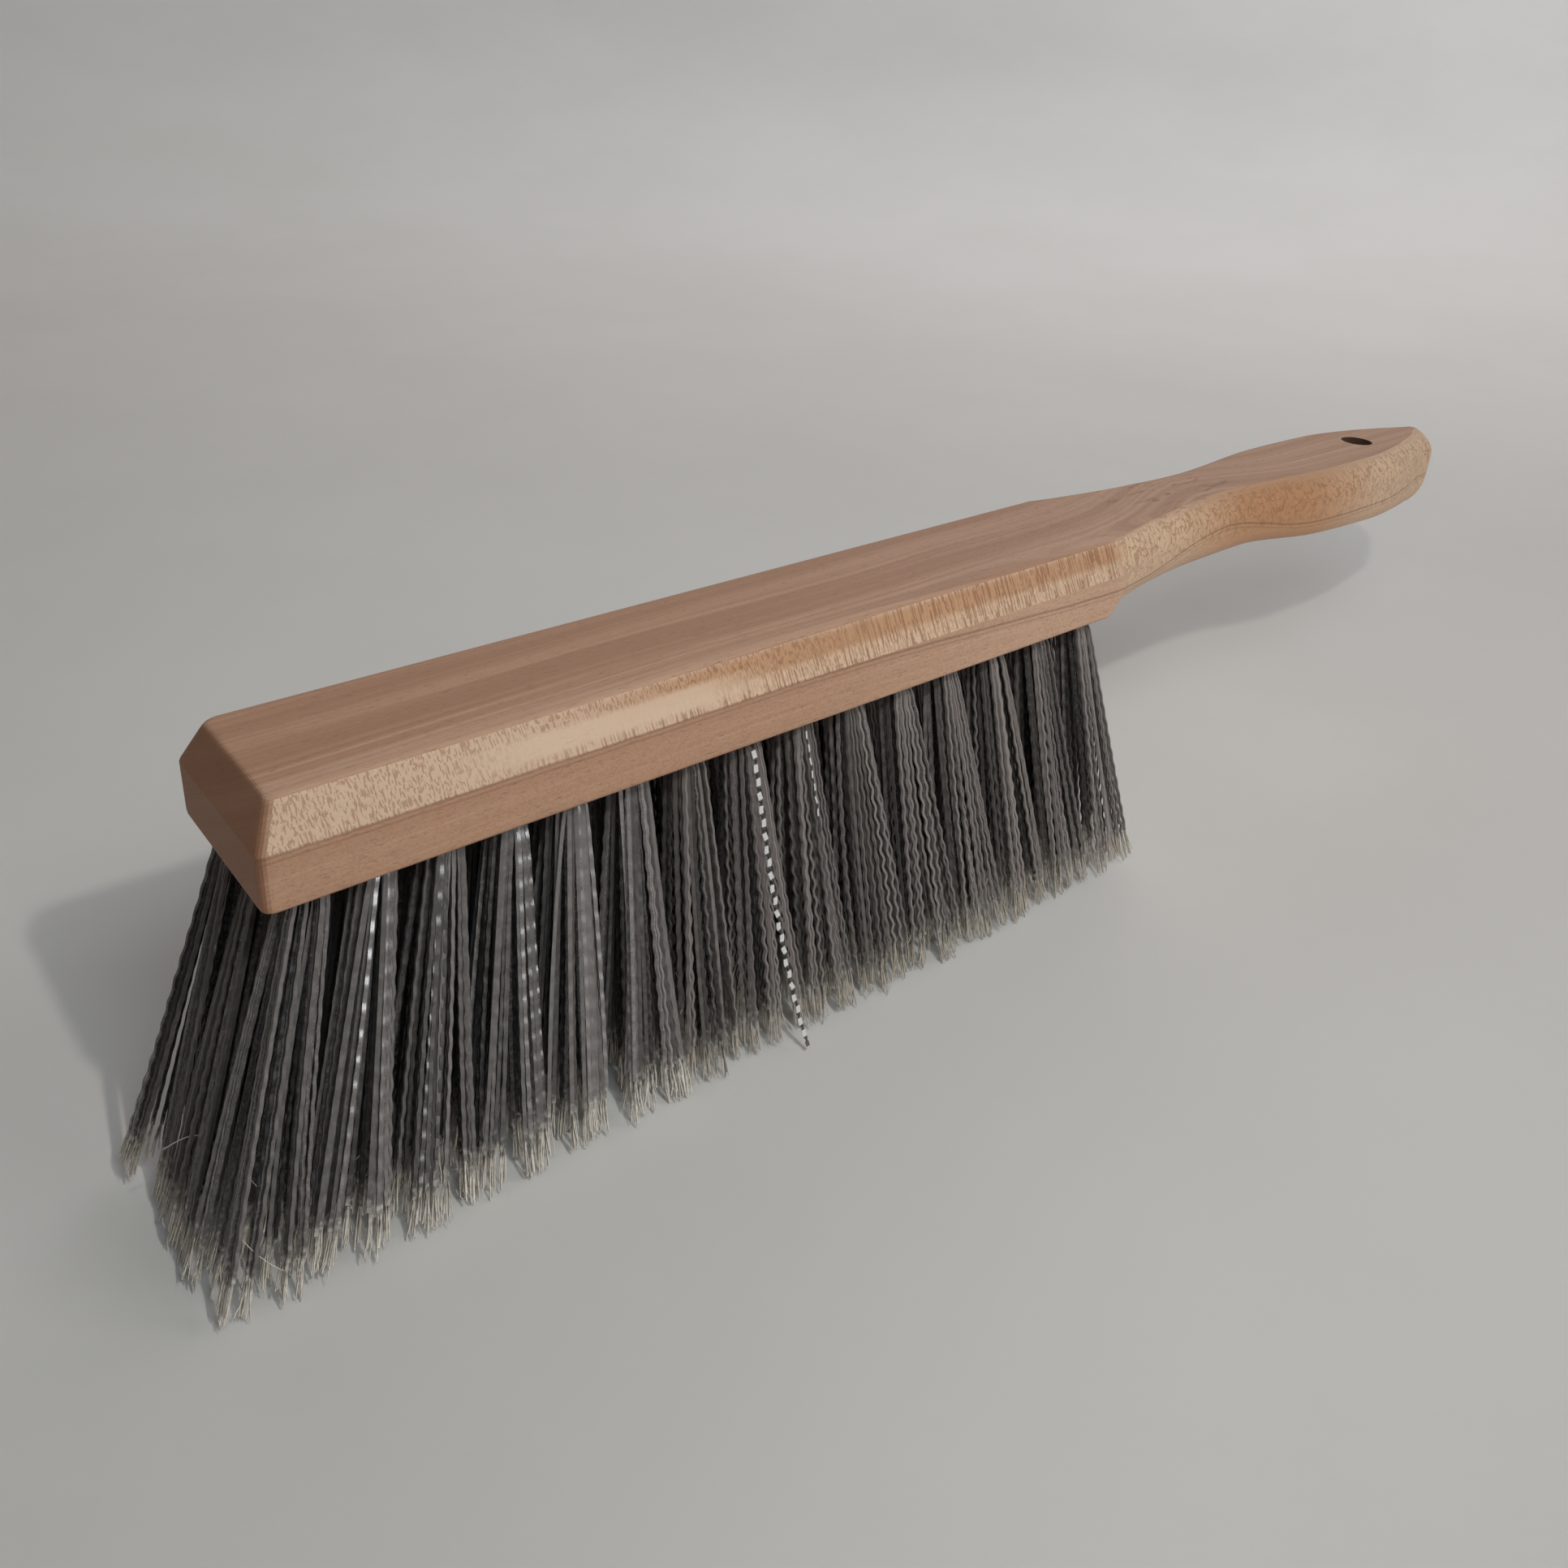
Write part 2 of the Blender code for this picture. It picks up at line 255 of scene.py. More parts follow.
CALM_X = 60.0
CALM_REACH = (34.0, 14.0)
CALM_OVER = 3.0
CALM_DEPTH = (2.4, 1.2)
KNOT_X = 226.0
KNOT_REACH = (28.0, 10.0)
LATE_WOOD_LINES = ((-0.15, 0.15, 0.42), (-1.0, 0.10, 0.26))
HOLE_X = 310.0
HOLE_REACH = 4.3
TAN = srgb(212, 168, 140)
TAN_DARK = srgb(189, 144, 116)
TAN_LIGHT = srgb(221, 182, 154)
SIDE_TAN = srgb(212, 169, 139)
SIDE_PALE = srgb(243, 204, 175)
CREAM = srgb(248, 218, 189)
PINK_BROWN = srgb(182, 132, 106)
STRAW = srgb(247, 215, 182)
ORANGE = srgb(212, 157, 114)
TICK_BROWN = srgb(156, 102, 66)
FLECK_BROWN = srgb(170, 118, 76)
LINE_BROWN = srgb(112, 72, 50)
END_BROWN = srgb(160, 108, 74)
HOLE_SHADE_BROWN = srgb(58, 38, 28)


def wood_material():
    """Solid wood that shows ray fleck on the left bevel and on the handle's left side."""
    g = Graph("wood_figured")
    place = g.node("ShaderNodeTexCoord").outputs["Object"]
    x, y, z = g.split(place)
    x = g.math("MULTIPLY", g.math("SUBTRACT", x, FRONT_X), 1000.0)
    y = g.math("MULTIPLY", y, 1000.0)
    z = g.math("MULTIPLY", g.math("SUBTRACT", z, UNDERSIDE_Z), 1000.0)
    normal = g.node("ShaderNodeNewGeometry").outputs["Normal"]
    nx, ny, nz = g.split(normal)

    # Grain: slow wander along the length, and a rise round a knot above the neck
    wander = g.noise(g.vector(g.scaled(x, 0.011), g.scaled(y, 0.03), 3.7), 1.0, 2.0)
    wander = g.scaled(g.math("SUBTRACT", wander, 0.5), 5.0)
    from_neck = g.scaled(g.math("SUBTRACT", x, GRAIN_RISE_X), 1 / GRAIN_RISE_LENGTH)
    rise = g.scaled(g.math("EXPONENT", g.scaled(g.math("MULTIPLY", from_neck, from_neck), -1.0)), GRAIN_RISE)
    sink = g.scaled(g.math("MULTIPLY", g.ramp(x, 95.0, 200.0), g.ramp(y, -7.0, -15.0)), 3.6)
    grain_z = g.math("ADD", z, g.math("ADD", rise, sink))
    ring = g.math("ADD", g.scaled(y, RADIAL[0]), g.scaled(grain_z, RADIAL[1]))
    wide_ring = g.math("ADD", ring, g.math("ADD", g.scaled(wander, 0.5), g.scaled(x, -0.006)))

    # Growth rings: broad soft bands with finer ones inside them, strongest on the left half
    broad = g.noise(g.vector(g.scaled(x, 0.003), g.scaled(wide_ring, 0.42), 1.3), 1.0, 2.0, 0.6)
    fine = g.noise(g.vector(g.scaled(x, 0.008), g.scaled(wide_ring, 1.9), 7.9), 1.0, 3.0, 0.65)
    bands = g.math("ADD", g.scaled(broad, 0.6), g.scaled(fine, 0.4))
    left = g.ramp(y, 6.0, -8.0)
    colour = g.mix(g.scaled(g.ramp(bands, 0.40, 0.60), 0.8), TAN_DARK, TAN)
    streak = g.math("MULTIPLY", g.ramp(bands, 0.54, 0.62), g.math("ADD", 0.20, g.scaled(left, 0.55)))
    colour = g.mix(streak, colour, TAN_LIGHT)

    # The side below the bevel is plainer
    side = g.math("MULTIPLY", g.ramp(g.math("ABSOLUTE", ny), 0.90, 0.97), g.ramp(x, *SIDE_ENDS_AT))
    colour = g.mix(g.scaled(side, 0.6), colour, g.mix(g.ramp(x, *PALE_SIDE_FROM), SIDE_TAN, SIDE_PALE))

    # Handle: paler and yellower on its left side, with an orange patch
    handle = g.ramp(x, *HANDLE_FROM)
    leftward = g.ramp(ny, 0.10, -0.55)
    colour = g.mix(g.math("MULTIPLY", handle, g.scaled(leftward, 0.65)), colour, STRAW)
    patch = g.near(x, PATCH_X, PATCH_REACH)
    colour = g.mix(g.math("MULTIPLY", patch, g.scaled(leftward, 0.85)), colour, ORANGE)

    # Fibres, fine wavy relief and short open pores
    fibre = g.noise(g.vector(g.scaled(x, 0.22), g.scaled(y, 4.5), g.scaled(z, 4.5)), 1.0, 3.0, 0.7)
    colour = g.mix(g.scaled(g.ramp(fibre, 0.42, 0.72), 0.22), colour, TAN_DARK)
    worm = g.noise(g.vector(g.scaled(x, 0.85), g.scaled(y, 1.3), g.scaled(z, 1.3)), 1.0, 2.0, 0.6, 0.6)
    worms = g.near(worm, 0.5, (0.045, 0.0))
    colour = g.mix(g.math("MULTIPLY", worms, g.math("ADD", 0.14, g.scaled(side, 0.34))), colour, PINK_BROWN)
    pore = g.noise(g.vector(g.scaled(x, 0.50), g.scaled(y, 6.0), g.scaled(z, 6.0)), 1.0, 1.0, 0.5)
    pores = g.ramp(pore, 0.65, 0.74)
    colour = g.mix(g.scaled(pores, 0.38), colour, LINE_BROWN)

    # Where the surface lies along the rays, and the ray flecks across the grain that show there
    facing = g.math("ADD", g.scaled(ny, RADIAL[0]), g.scaled(nz, RADIAL[1]))
    handle_rays = g.scaled(g.ramp(g.math("ABSOLUTE", facing), 0.70, 0.35), 0.8)
    along_rays = g.mix(handle, g.ramp(g.math("ABSOLUTE", facing), 0.36, 0.14), handle_rays)
    along_rays = g.math("MULTIPLY", along_rays, g.ramp(g.math("ABSOLUTE", nx), 0.45, 0.15))
    along_rays = g.math("MULTIPLY", along_rays, g.ramp(ny, 0.0, -0.3))
    over = g.math("ADD", g.scaled(y, RADIAL[0]), g.scaled(z, RADIAL[1]))
    jog = g.scaled(g.noise(g.vector(g.scaled(x, 0.2), g.scaled(over, 0.8), 0.4), 1.0, 1.0), 1.2)
    low_place = g.vector(g.scaled(x, 2.20), g.math("ADD", g.scaled(over, 0.17), jog), 2.2)
    high_place = g.vector(g.scaled(x, 3.0), g.math("ADD", g.scaled(over, 0.90), jog), 9.2)
    low_fleck = g.noise(low_place, 1.0, 2.0, 0.6)
    high_fleck = g.noise(high_place, 1.0, 2.0, 0.6)
    rear = g.ramp(x, *REAR_FROM)
    high = g.ramp(over, 2.4, 3.8)
    low_lines = g.ramp(low_fleck, 0.53, 0.40)
    high_lines = g.ramp(high_fleck, 0.52, 0.41)
    high_share = g.math("MAXIMUM", g.math("MULTIPLY", high, g.ramp(x, 130.0, 90.0)), g.ramp(x, 60.0, 30.0))
    lines = g.math("ADD", g.math("MULTIPLY", low_lines, g.math("SUBTRACT", 1.0, high_share)),
                   g.math("MULTIPLY", high_lines, high_share))
    tone = g.ramp(high_fleck, 0.40, 0.60)

    # Ground between the flecks: cream, with amber along the upper edge and one calm stretch
    amber = g.near(over, AMBER_OVER, AMBER_REACH)
    amber = g.math("MULTIPLY", g.ramp(x, *AMBER_FROM), amber)
    amber = g.math("MULTIPLY", amber, g.ramp(x, *AMBER_ENDS_AT))
    ground = g.mix(g.scaled(tone, 0.15), CREAM, PINK_BROWN)
    ground = g.mix(rear, ground, g.mix(g.scaled(tone, 0.45), CREAM, ORANGE))
    ground = g.mix(g.scaled(amber, 0.75), ground, ORANGE)
    calm = g.math("MULTIPLY", g.near(x, CALM_X, CALM_REACH), g.near(over, CALM_OVER, CALM_DEPTH))
    ground = g.mix(g.scaled(calm, 0.85), ground, CREAM)
    handle_fleck = g.mix(patch, STRAW, ORANGE)
    ground = g.mix(handle, ground, handle_fleck)
    colour = g.mix(g.scaled(along_rays, 0.92), colour, ground)
    strength = g.math("SUBTRACT", 0.66, g.scaled(rear, 0.04))
    strength = g.math("SUBTRACT", strength, g.scaled(calm, 0.60))
    strength = g.math("SUBTRACT", strength, g.scaled(handle, 0.42))
    fleck = g.math("MULTIPLY", g.math("MULTIPLY", lines, along_rays), strength)
    colour = g.mix(fleck, colour, g.mix(rear, PINK_BROWN, g.mix(handle, TICK_BROWN, FLECK_BROWN)))

    # Quilted figure on the handle's left side
    quilt = g.noise(g.vector(g.scaled(x, 0.50), g.scaled(over, 0.40), 5.1), 1.0, 2.0, 0.55, 0.5)
    seams = g.near(quilt, 0.5, (0.060, 0.015))
    quilted = g.math("MULTIPLY", g.math("MULTIPLY", seams, along_rays), g.scaled(handle, 0.70))
    colour = g.mix(quilted, colour, FLECK_BROWN)

    # Dark late-wood lines that show on the left side of the block and handle
    wobble = g.scaled(g.math("SUBTRACT", g.noise(g.vector(g.scaled(x, 0.08), 0.0, 4.0), 1.0, 2.0), 0.5), 0.5)
    traced = g.math("ADD", ring, wobble)
    lit_side = g.ramp(ny, 0.0, -0.4)
    for level, width, share in LATE_WOOD_LINES:
        near_line = g.near(traced, level, (width * 2.2, width * 0.5))
        shown = g.scaled(g.math("MULTIPLY", near_line, lit_side), share)
        colour = g.mix(shown, colour, LINE_BROWN)

    # Knot streaks on top of the neck
    knot_place = g.vector(g.scaled(x, 0.11), g.scaled(y, 0.55), 6.6)
    knot = g.ramp(g.noise(knot_place, 1.0, 3.0, 0.6, 1.2), 0.57, 0.66)
    knot_zone = g.math("MULTIPLY", g.near(x, KNOT_X, KNOT_REACH), g.ramp(nz, 0.6, 0.9))
    colour = g.mix(g.scaled(g.math("MULTIPLY", knot, knot_zone), 0.5), colour, LINE_BROWN)

    # End grain, and painted shade on the wall of the hanging hole
    end = g.ramp(nx, -0.35, -0.85)
    colour = g.mix(g.scaled(end, 0.75), colour, END_BROWN)
    speck = g.ramp(g.noise(place, 1400.0, 2.0, 0.6), 0.60, 0.72)
    colour = g.mix(g.math("MULTIPLY", end, g.scaled(speck, 0.25)), colour, LINE_BROWN)
    # The wall of the hanging hole is painted dark brown: painted shade in the recess
    from_hole = g.math("SUBTRACT", x, HOLE_X)
    squared = g.math("ADD", g.math("MULTIPLY", from_hole, from_hole), g.math("MULTIPLY", y, y))
    off_axis = g.math("SQRT", squared)
    upright = g.ramp(g.math("ABSOLUTE", nz), 0.7, 0.4)
    painted_hole_shade = g.math("MULTIPLY", g.ramp(off_axis, HOLE_REACH, HOLE_REACH - 0.2), upright)
    colour = g.mix(g.scaled(painted_hole_shade, 0.9), colour, HOLE_SHADE_BROWN)

    g.put(g.shader.inputs["Base Color"], colour)
    g.put(g.shader.inputs["Roughness"], g.math("ADD", 0.50, g.scaled(fibre, 0.14)))
    g.shader.inputs["Specular IOR Level"].default_value = 0.35
    relief = g.math("ADD", g.scaled(fibre, 0.5), g.scaled(pores, -1.0))
    relief = g.math("ADD", relief, g.scaled(fleck, -0.8))
    relief = g.math("ADD", relief, g.scaled(worm, 0.8))
    g.put(g.shader.inputs["Normal"], g.bump(relief, 0.10 * MM, 0.6))
    return g.material


# ---------------------------------------------------------------- bristle

DARK_AND_SHADED_GREY = srgb(12, 11, 12)
MID_GREY = srgb(154, 146, 143)
TIP_GREY = srgb(210, 201, 188)
STRAY_TAN = srgb(218, 207, 190)
PAINTED_GLINT_WHITE = srgb(238, 238, 238)


def bristle_material():
    """Dark grey synthetic filament, some of it glossy, paling to beige where the tips are split. Its tints
    also carry painted shade on the inner filaments and the front tufts, and the white of painted glints.
    """
    g = Graph("bristle_filament")
    along = g.node("ShaderNodeAttribute", {"attribute_name": "along"}).outputs["Fac"]
    tint = g.node("ShaderNodeAttribute", {"attribute_name": "tint"}).outputs["Fac"]
    place = g.node("ShaderNodeTexCoord").outputs["Object"]
    frosted = g.noise(place, 900.0, 2.0)
    # Dark end of the tints: painted shade on the inner filaments and the front tufts, and darker filaments at
    # random
    colour = g.mix(tint, DARK_AND_SHADED_GREY, MID_GREY)
    colour = g.mix(g.scaled(g.ramp(frosted, 0.45, 0.7), 0.07), colour, TIP_GREY)
    pale = g.ramp(g.math("ADD", along, g.scaled(g.math("SUBTRACT", frosted, 0.5), 0.16)), 0.84, 0.97)
    colour = g.mix(pale, colour, TIP_GREY)
    colour = g.mix(g.ramp(tint, 1.4, 1.8), colour, STRAY_TAN)
    # White of the painted glints on the twisted filaments
    colour = g.mix(g.ramp(tint, 2.4, 2.8), colour, PAINTED_GLINT_WHITE)
    g.put(g.shader.inputs["Base Color"], colour)
    glossy = g.ramp(g.math("FRACT", g.scaled(tint, 7.3)), 0.55, 0.75)
    rough = g.math("SUBTRACT", 0.46, g.scaled(glossy, 0.24))
    g.put(g.shader.inputs["Roughness"], g.math("ADD", rough, g.scaled(frosted, 0.10)))
    g.put(g.shader.inputs["Specular IOR Level"], g.math("ADD", 0.4, g.scaled(glossy, 0.5)))
    g.put(g.shader.inputs["Normal"], g.bump(frosted, 0.02 * MM, 0.4))
    return g.material


def unit(vectors):
    return vectors / np.maximum(np.linalg.norm(vectors, axis=-1, keepdims=True), 1e-12)


def tubes(paths, wide, thick, turn, sides):
    """Vertices and quads of tubes round paths (n, k, 3), wide by thick (n, k), turned by turn (n) or (n, k).

    Four sides make a flat tape, other numbers of sides stand for an ellipse.
    """
    count, steps, _ = paths.shape
    tangent = unit(np.gradient(paths, axis=1))
    first = unit(np.cross(tangent, np.array((0.0, 1.0, 0.0))))
    second = np.cross(tangent, first)
    angle = 2 * np.pi * (np.arange(sides) + 0.5) / sides
    stretch = math.sqrt(2) if sides == FLAT_SIDES else 1.0
    cosine, sine = np.cos(angle) * stretch, np.sin(angle) * stretch
    across = wide[..., None] / 2 * cosine
    through = thick[..., None] / 2 * sine
    turn = turn.reshape(count, -1, 1)
    c, s = np.cos(turn), np.sin(turn)
    u = across * c - through * s
    v = across * s + through * c
    verts = paths[:, :, None] + u[..., None] * first[:, :, None] + v[..., None] * second[:, :, None]
    index = np.arange(count * steps * sides).reshape(count, steps, sides)
    a, b = index[:, :-1], index[:, 1:]
    quads = np.stack((a, np.roll(a, -1, 2), np.roll(b, -1, 2), b), axis=-1)
    return verts.reshape(-1, 3), quads.reshape(-1, 4), index


def make_piece(name, parts, material):
    """One mesh from tube sets, each (verts, quads, index, along, tint), with a map column for each tube."""
    verts, faces, along, tint, maps, girths = [], [], [], [], [], []
    offset = 0
    columns = sum(part[2].shape[0] for part in parts)
    column = 0
    for points, quads, index, part_along, part_tint in parts:
        count, steps, sides = index.shape
        verts.append(points)
        faces.append(quads + offset)
        along.append(np.repeat(part_along, sides, axis=1).ravel())
        tint.append(np.repeat(part_tint, steps * sides))
        girths.append(np.full(len(points), sides))
        lane = (column + np.arange(count))[:, None, None] / columns
        lane_share = np.arange(sides) / sides * MAP_FILL / columns
        left = np.broadcast_to(lane + lane_share, (count, steps - 1, sides))
        right = left + MAP_FILL / columns / sides
        low = np.broadcast_to((np.arange(steps - 1) / (steps - 1))[None, :, None], left.shape)
        high = low + 1 / (steps - 1)
        corners = np.stack((left, low, right, low, right, high, left, high), axis=-1)
        maps.append(corners.reshape(-1, 2))
        offset += len(points)
        column += count
    verts, faces = np.concatenate(verts), np.concatenate(faces)
    mesh = bpy.data.meshes.new(name)
    mesh.vertices.add(len(verts))
    mesh.vertices.foreach_set("co", verts.astype(np.float32).ravel())
    mesh.loops.add(faces.size)
    mesh.loops.foreach_set("vertex_index", faces.astype(np.int32).ravel())
    mesh.polygons.add(len(faces))
    mesh.polygons.foreach_set("loop_start", np.arange(0, faces.size, 4, dtype=np.int32))
    mesh.update(calc_edges=True)
    for label, values in (("along", along), ("tint", tint)):
        layer = mesh.attributes.new(label, "FLOAT", "POINT")
        layer.data.foreach_set("value", np.concatenate(values).astype(np.float32))
    layer = mesh.uv_layers.new(name=UV_MAP)
    layer.uv.foreach_set("vector", np.concatenate(maps).astype(np.float32).ravel())
    mesh.shade_smooth()
    ends = np.empty(len(mesh.edges) * 2, dtype=np.int32)
    mesh.edges.foreach_get("vertices", ends)
    ends = np.sort(ends.reshape(-1, 2), axis=1)
    around = np.concatenate(girths)[ends[:, 0]]
    sharp = mesh.attributes.new("sharp_edge", "BOOLEAN", "EDGE")
    sharp.data.foreach_set("value", (around == FLAT_SIDES) & (ends[:, 1] - ends[:, 0] == FLAT_SIDES))
    mesh.materials.append(material)
    thing = bpy.data.objects.new(name, mesh)
    bpy.context.scene.collection.objects.link(thing)
    return thing


def fan():
    """Places of a tuft's filaments, layer by layer: over the hole's unit disc, and over the tip's square."""
    lane = np.linspace(-1, 1, FILAMENTS_PER_LAYER)
    hole, tip = [], []
    for number, depth in enumerate(LAYERS):
        chord = math.sqrt(1 - (HOLE_LAYER_DEPTH * depth) ** 2) * HOLE_LAYER_REACH
        hole.append(np.stack((lane * chord, np.full_like(lane, HOLE_LAYER_DEPTH * depth)), -1))
        shift = (number % 2 - 0.5) * TIP_STAGGER * (lane[1] - lane[0])
        tip.append(np.stack((lane * TIP_LAYER_REACH + shift, np.full_like(lane, depth)), -1))
    return np.concatenate(hole), np.concatenate(tip)


def tuft_ends(node):
    """From a tuft's CAD node: its centre at the block's underside, its tip cell's centre and half sizes."""
    co = np.array([v.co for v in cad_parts[node].data.vertices])
    low = co[co[:, 2] < LEVEL_SLACK]
    root = co[np.abs(co[:, 2] - UNDERSIDE_Z) < LEVEL_SLACK]
    tip_low, tip_high = low.min(0), low.max(0)
    return (root.min(0) + root.max(0)) / 2, (tip_low + tip_high) / 2, (tip_high - tip_low)[:2] / 2


def clipped_share(value, low, high):
    """How far a value is on its way from low to high, from 0 to 1."""
    return min(max(value - low, 0) / (high - low), 1.0)


def filament_ends(root, tip, cell, hole, square, rng):
    """Where the filaments of a tuft leave the block and where they end, gathered in clumps and trimmed."""
    n = len(hole)
    start = root + np.pad(hole + rng.normal(0, ROOT_JITTER, (n, 2)), ((0, 0), (0, 1))) * ROOT_RADIUS
    end = tip + np.pad(square * cell * TIP_SPREAD, ((0, 0), (0, 1)))
    clumps = tip[:2] + rng.uniform(-1, 1, (CLUMPS_PER_TUFT, 2)) * cell
    nearest = np.linalg.norm(end[:, None, :2] - clumps[None], axis=-1).argmin(1)
    end[:, :2] += (clumps[nearest] - end[:, :2]) * CLUMP_PULL
    end[:, :2] += rng.normal(0, TIP_JITTER, (n, 2))
    trim = rng.uniform(*TUFT_TRIM) + rng.normal(0, CLUMP_TRIM, CLUMPS_PER_TUFT)[nearest]
    end[:, 2] = np.maximum(trim, 0) + np.abs(rng.normal(0, TIP_RAGGEDNESS / 3, n)) + LOWEST_TIP
    return start, end


def splayed(root, tip, start, end, t):
    """Paths (n, k, 3) from start to end, which open out faster just below the block than farther down."""
    below = np.maximum(t, 0)
    spread = QUICK_SPLAY * (1 - np.exp(-below / QUICK_SPLAY_OVER)) + (1 - QUICK_SPLAY) * below
    lean = (tip - root) / (root[2] - tip[2]) * UNDERSIDE_Z
    offset = start[:, None] - root + (end - start - (tip - root))[:, None] * spread[None, :, None]
    paths = root + lean * t[None, :, None] + offset
    paths[..., 2] = start[:, None, 2] + (end - start)[:, None, 2] * t[None]
    return paths


def crimp(paths, t, share, square, rng):
    """Bend the paths into waves nearly in step, across the brush at the front and along it towards the rear.

    The result is the plane of each filament's waves, as an angle.
    """
    n = len(paths)
    phase = rng.uniform(0, 2 * math.pi) + square @ rng.normal(0, PHASE_TILT, 2)
    phase = phase + rng.normal(0, PHASE_JITTER, n)
    front, rear = CRIMP_PLANES
    plane = math.radians(front + (rear - front) * clipped_share(share, *CRIMP_TURNS_BETWEEN))
    plane = plane + rng.normal(0, CRIMP_PLANE_JITTER, n)
    pitch = CRIMP_LENGTH * (1 + rng.normal(0, CRIMP_LENGTH_JITTER, n))
    swing = 2 * np.pi * (t * UNDERSIDE_Z)[None] / pitch[:, None] + phase[:, None]
    low, high = CRIMP_HEIGHTS
    height = low + (high - low) * clipped_share(share, 0, FULL_CRIMP_FROM)
    grown = np.clip(CRIMP_GROWTH * t + CRIMP_AT_ROOT, 0, 1)
    wave = np.sin(swing) * height * rng.uniform(*CRIMP_VARIATION, n)[:, None] * grown[None]
    paths[..., 0] += wave * np.cos(plane)[:, None]
    paths[..., 1] += wave * np.sin(plane)[:, None]
    drift = rng.normal(0, FILAMENT_DRIFT, (n, 2))
    paths[..., :2] += drift[:, None] * np.sin(math.pi * np.clip(t, 0, 1))[None, :, None]
    return plane


def filament_tints(square, share, rng):
    """Tint of each filament, with random variation: lighter on the tuft's outside and darker inside it as
    painted shade, and darker in the tufts at the front of the brush as painted shade.
    """
    outer = np.abs(square).max(1)
    tint = SHADED_INNER_TINT + LIT_OUTER_TINT * outer ** 2 + rng.normal(0, TINT_JITTER, len(square))
    return np.clip(tint, 0, 1) * (FRONT_SHADE_TINT + (1 - FRONT_SHADE_TINT) * clipped_share(share, *FRONT_SHADE_FADES_BETWEEN))


def flags(paths, tint, rng):
    """Parts of the filaments' ends, each split into finer fibrils that open out."""
    source = np.repeat(np.arange(len(paths)), FIBRILS_PER_FILAMENT)
    m = len(source)
    s = np.linspace(0, 1, FIBRIL_STEPS)
    first = paths[source, -3]
    heading = unit(paths[:, -1] - paths[:, -1 - POINTS_PER_CRIMP])[source]
    length = FLAG_LENGTH * rng.uniform(*FLAG_VARIATION, m)
    drop = np.minimum(length * -heading[:, 2], first[:, 2] - LOWEST_FIBRIL)
    target = first + heading * (drop / -heading[:, 2])[:, None]
    opening = rng.normal(0, FLAG_OPENING, (m, 2))
    bend = rng.normal(0, FLAG_BEND, (m, 2))
    fibrils = first[:, None] + (target - first)[:, None] * s[None, :, None]
    fibrils[..., :2] += opening[:, None] * (s ** 1.3)[None, :, None]
    fibrils[..., :2] += bend[:, None] * np.sin(math.pi * s)[None, :, None]
    thin = FIBRIL_WIDTH * rng.uniform(*FIBRIL_VARIATION, m)[:, None] * (1 - FIBRIL_TAPER * s)[None]
    wide, thick = thin * FIBRIL_SECTION[0], thin * FIBRIL_SECTION[1]
    turn = rng.uniform(0, 3, m)
    along = FLAGS_FROM + (1 - FLAGS_FROM) * np.broadcast_to(s, (m, FIBRIL_STEPS))
    return [(*tubes(fibrils, wide, thick, turn, HAIR_SIDES), along, tint[source])]


def filament_with_painted_glints(path, t, width, reach):
    """Parts of a flat dark filament that is twisted by half turns, with white dashes between the turns that
    are painted glints.
    """
    def place(share):
        points = np.stack([np.interp(share, t, path[:, axis]) for axis in range(3)], -1)
        points += (path[-1] - path[0]) / (t[-1] - t[0]) * np.maximum(share - t[-1], 0)[..., None]
        points[..., 0] += GLINT_DRIFT[0] * np.maximum(share, 0) ** 3
        points[..., 1] += GLINT_DRIFT[1] * np.maximum(share, 0) ** 3
        points[..., 1] -= GLINT_FORWARD * np.clip(share / GLINT_FORWARD_OVER, 0, 1)
        return points

    fine = np.linspace(t[0], reach, GLINT_STEPS)[None]
    turns = fine * UNDERSIDE_Z / GLINT_PITCH
    flip = np.clip((turns % 1 - (1 - GLINT_FLIP)) / GLINT_FLIP, 0, 1)
    wide, thick = (np.full(fine.shape, width * share) for share in GLINT_TAPE)
    tape = tubes(place(fine), wide, thick, math.pi * (np.floor(turns) + flip), FLAT_SIDES)
    # White dashes laid over the tape at each half turn: painted glints
    pitch = GLINT_PITCH / UNDERSIDE_Z
    dash = np.linspace(0, (1 - GLINT_FLIP) * pitch, GLINT_DASH_STEPS)
    dash = np.arange(0, reach - pitch, pitch)[:, None] + dash
    wide, thick = (np.full(dash.shape, width * share) for share in PAINTED_GLINT_FACE)
    faces = tubes(place(dash), wide, thick, np.zeros(len(dash)), FLAT_SIDES)
    return [(*tape, np.zeros(fine.shape), np.full(1, GLINT_DARK)),
            (*faces, np.zeros(dash.shape), np.full(len(dash), PAINTED_GLINT_TINT))]


